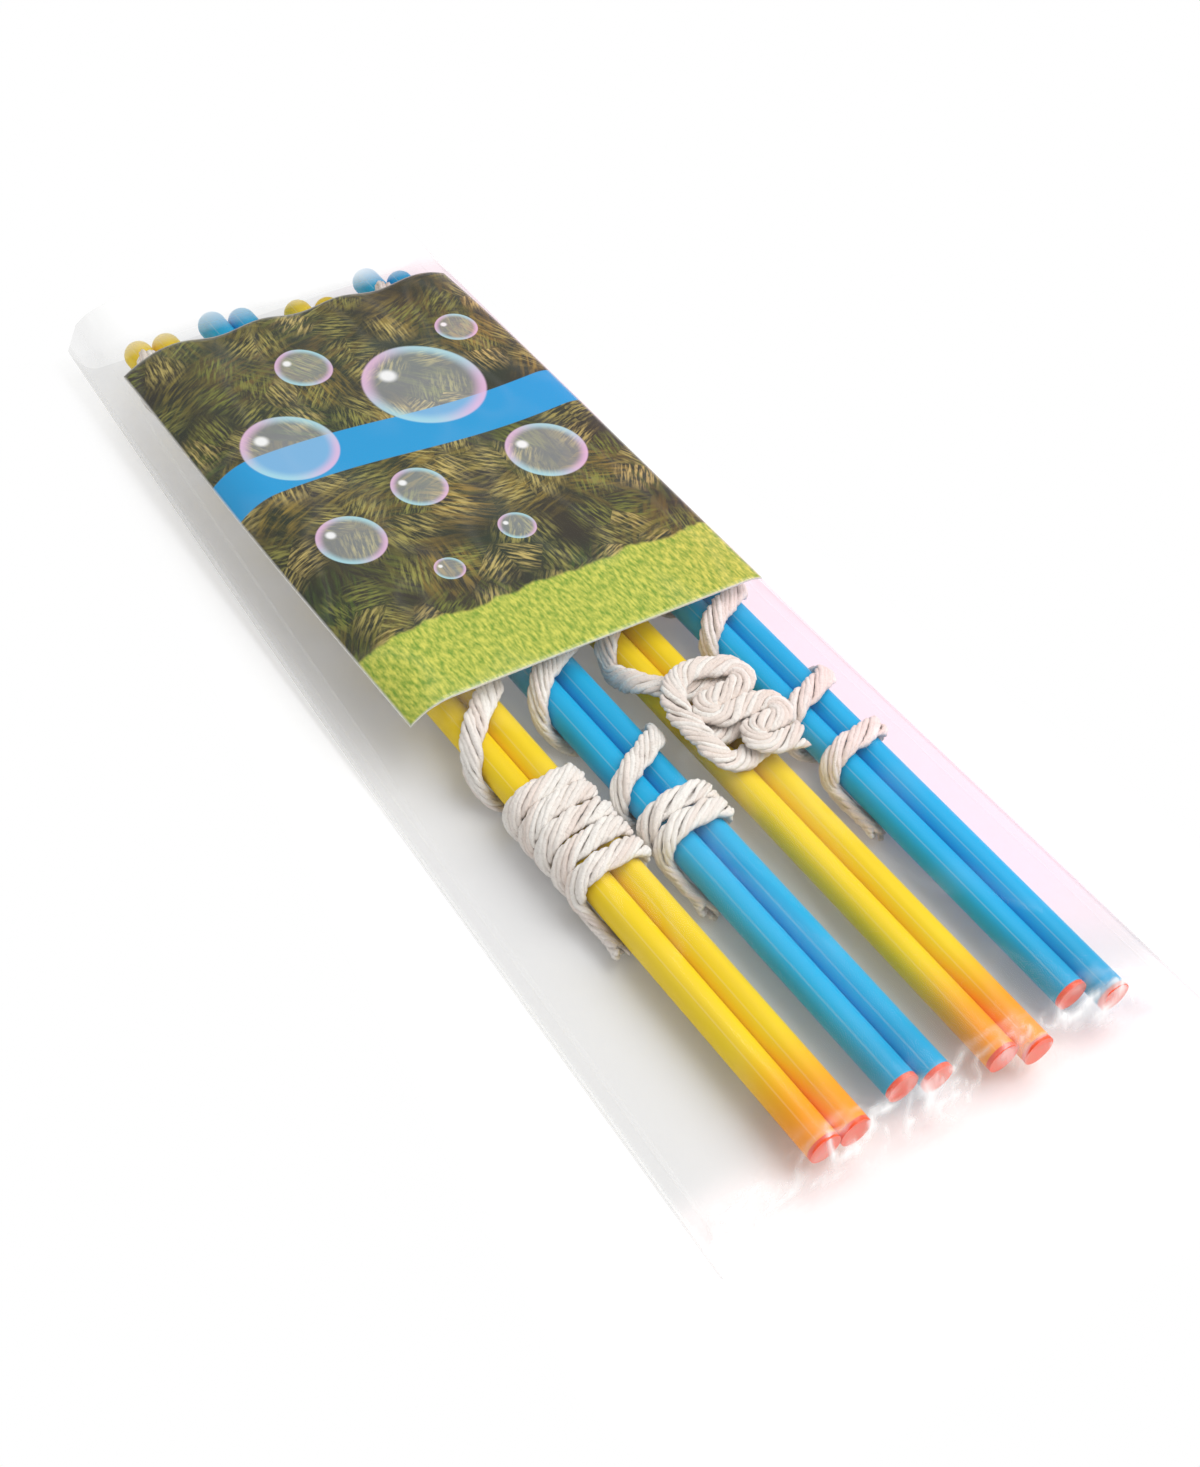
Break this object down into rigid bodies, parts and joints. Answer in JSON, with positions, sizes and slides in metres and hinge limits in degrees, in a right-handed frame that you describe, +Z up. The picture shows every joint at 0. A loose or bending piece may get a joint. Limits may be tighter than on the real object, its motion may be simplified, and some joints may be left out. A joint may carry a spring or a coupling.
{
  "type": "rope bubble wand pack",
  "caption": "Clear film bag of rope bubble wands: pairs of capped plastic sticks wound with cotton rope under a printed card, which slide out of the bag's mouth.",
  "frame": {"origin": "middle of the bag's underside, on the surface that the pack lies on", "axes": "+Y along the sticks from the handle ends to the tips and the bag's mouth, +X across the wands from the first yellow to the last blue one, +Z up"},
  "size_m": [0.141, 0.326, 0.0212],
  "materials": {
    "yellow_plastic": "satin lemon-yellow extruded plastic with a faint lengthwise moulding line",
    "blue_plastic": "satin sky-blue extruded plastic with a faint lengthwise moulding line",
    "orange_plug": "translucent orange-red moulded plastic",
    "cotton_rope": "undyed soft-laid cotton rope of several yarns",
    "printed_card": "glossy printed card",
    "clear_film": "clear thin polypropylene film"
  },
  "bodies": {
    "bag": {"bag_back_film": "clear_film", "bag_front_film": "clear_film", "bag_left_film": "clear_film", "bag_right_film": "clear_film", "bag_end_film": "clear_film"},
    "card": {"insert_card": "printed_card"},
    "wand1": {"wand1_left_tube": "yellow_plastic", "wand1_right_tube": "yellow_plastic", "wand1_left_handle_plug": "orange_plug", "wand1_right_handle_plug": "orange_plug", "wand1_left_tip_plug": "yellow_plastic", "wand1_right_tip_plug": "yellow_plastic", "wand1_rope": "cotton_rope"},
    "wand2": {"wand2_left_tube": "blue_plastic", "wand2_right_tube": "blue_plastic", "wand2_left_handle_plug": "orange_plug", "wand2_right_handle_plug": "orange_plug", "wand2_left_tip_plug": "blue_plastic", "wand2_right_tip_plug": "blue_plastic", "wand2_rope": "cotton_rope"},
    "wand3": {"wand3_left_tube": "yellow_plastic", "wand3_right_tube": "yellow_plastic", "wand3_left_handle_plug": "orange_plug", "wand3_right_handle_plug": "orange_plug", "wand3_left_tip_plug": "yellow_plastic", "wand3_right_tip_plug": "yellow_plastic", "wand3_rope": "cotton_rope"},
    "wand4": {"wand4_left_tube": "blue_plastic", "wand4_right_tube": "blue_plastic", "wand4_left_handle_plug": "orange_plug", "wand4_right_handle_plug": "orange_plug", "wand4_left_tip_plug": "blue_plastic", "wand4_right_tip_plug": "blue_plastic", "wand4_rope": "cotton_rope"}
  },
  "joints": [
    {"name": "wand1_slide", "type": "slide", "parent": "bag", "child": "wand1", "axis": [0, 1, 0], "range_m": [0, 0.32]},
    {"name": "wand2_slide", "type": "slide", "parent": "bag", "child": "wand2", "axis": [0, 1, 0], "range_m": [0, 0.32]},
    {"name": "wand3_slide", "type": "slide", "parent": "bag", "child": "wand3", "axis": [0, 1, 0], "range_m": [0, 0.32]},
    {"name": "wand4_slide", "type": "slide", "parent": "bag", "child": "wand4", "axis": [0, 1, 0], "range_m": [0, 0.32]},
    {"name": "card_slide", "type": "slide", "parent": "bag", "child": "card", "axis": [0, 1, 0], "range_m": [0, 0.18]}
  ]
}
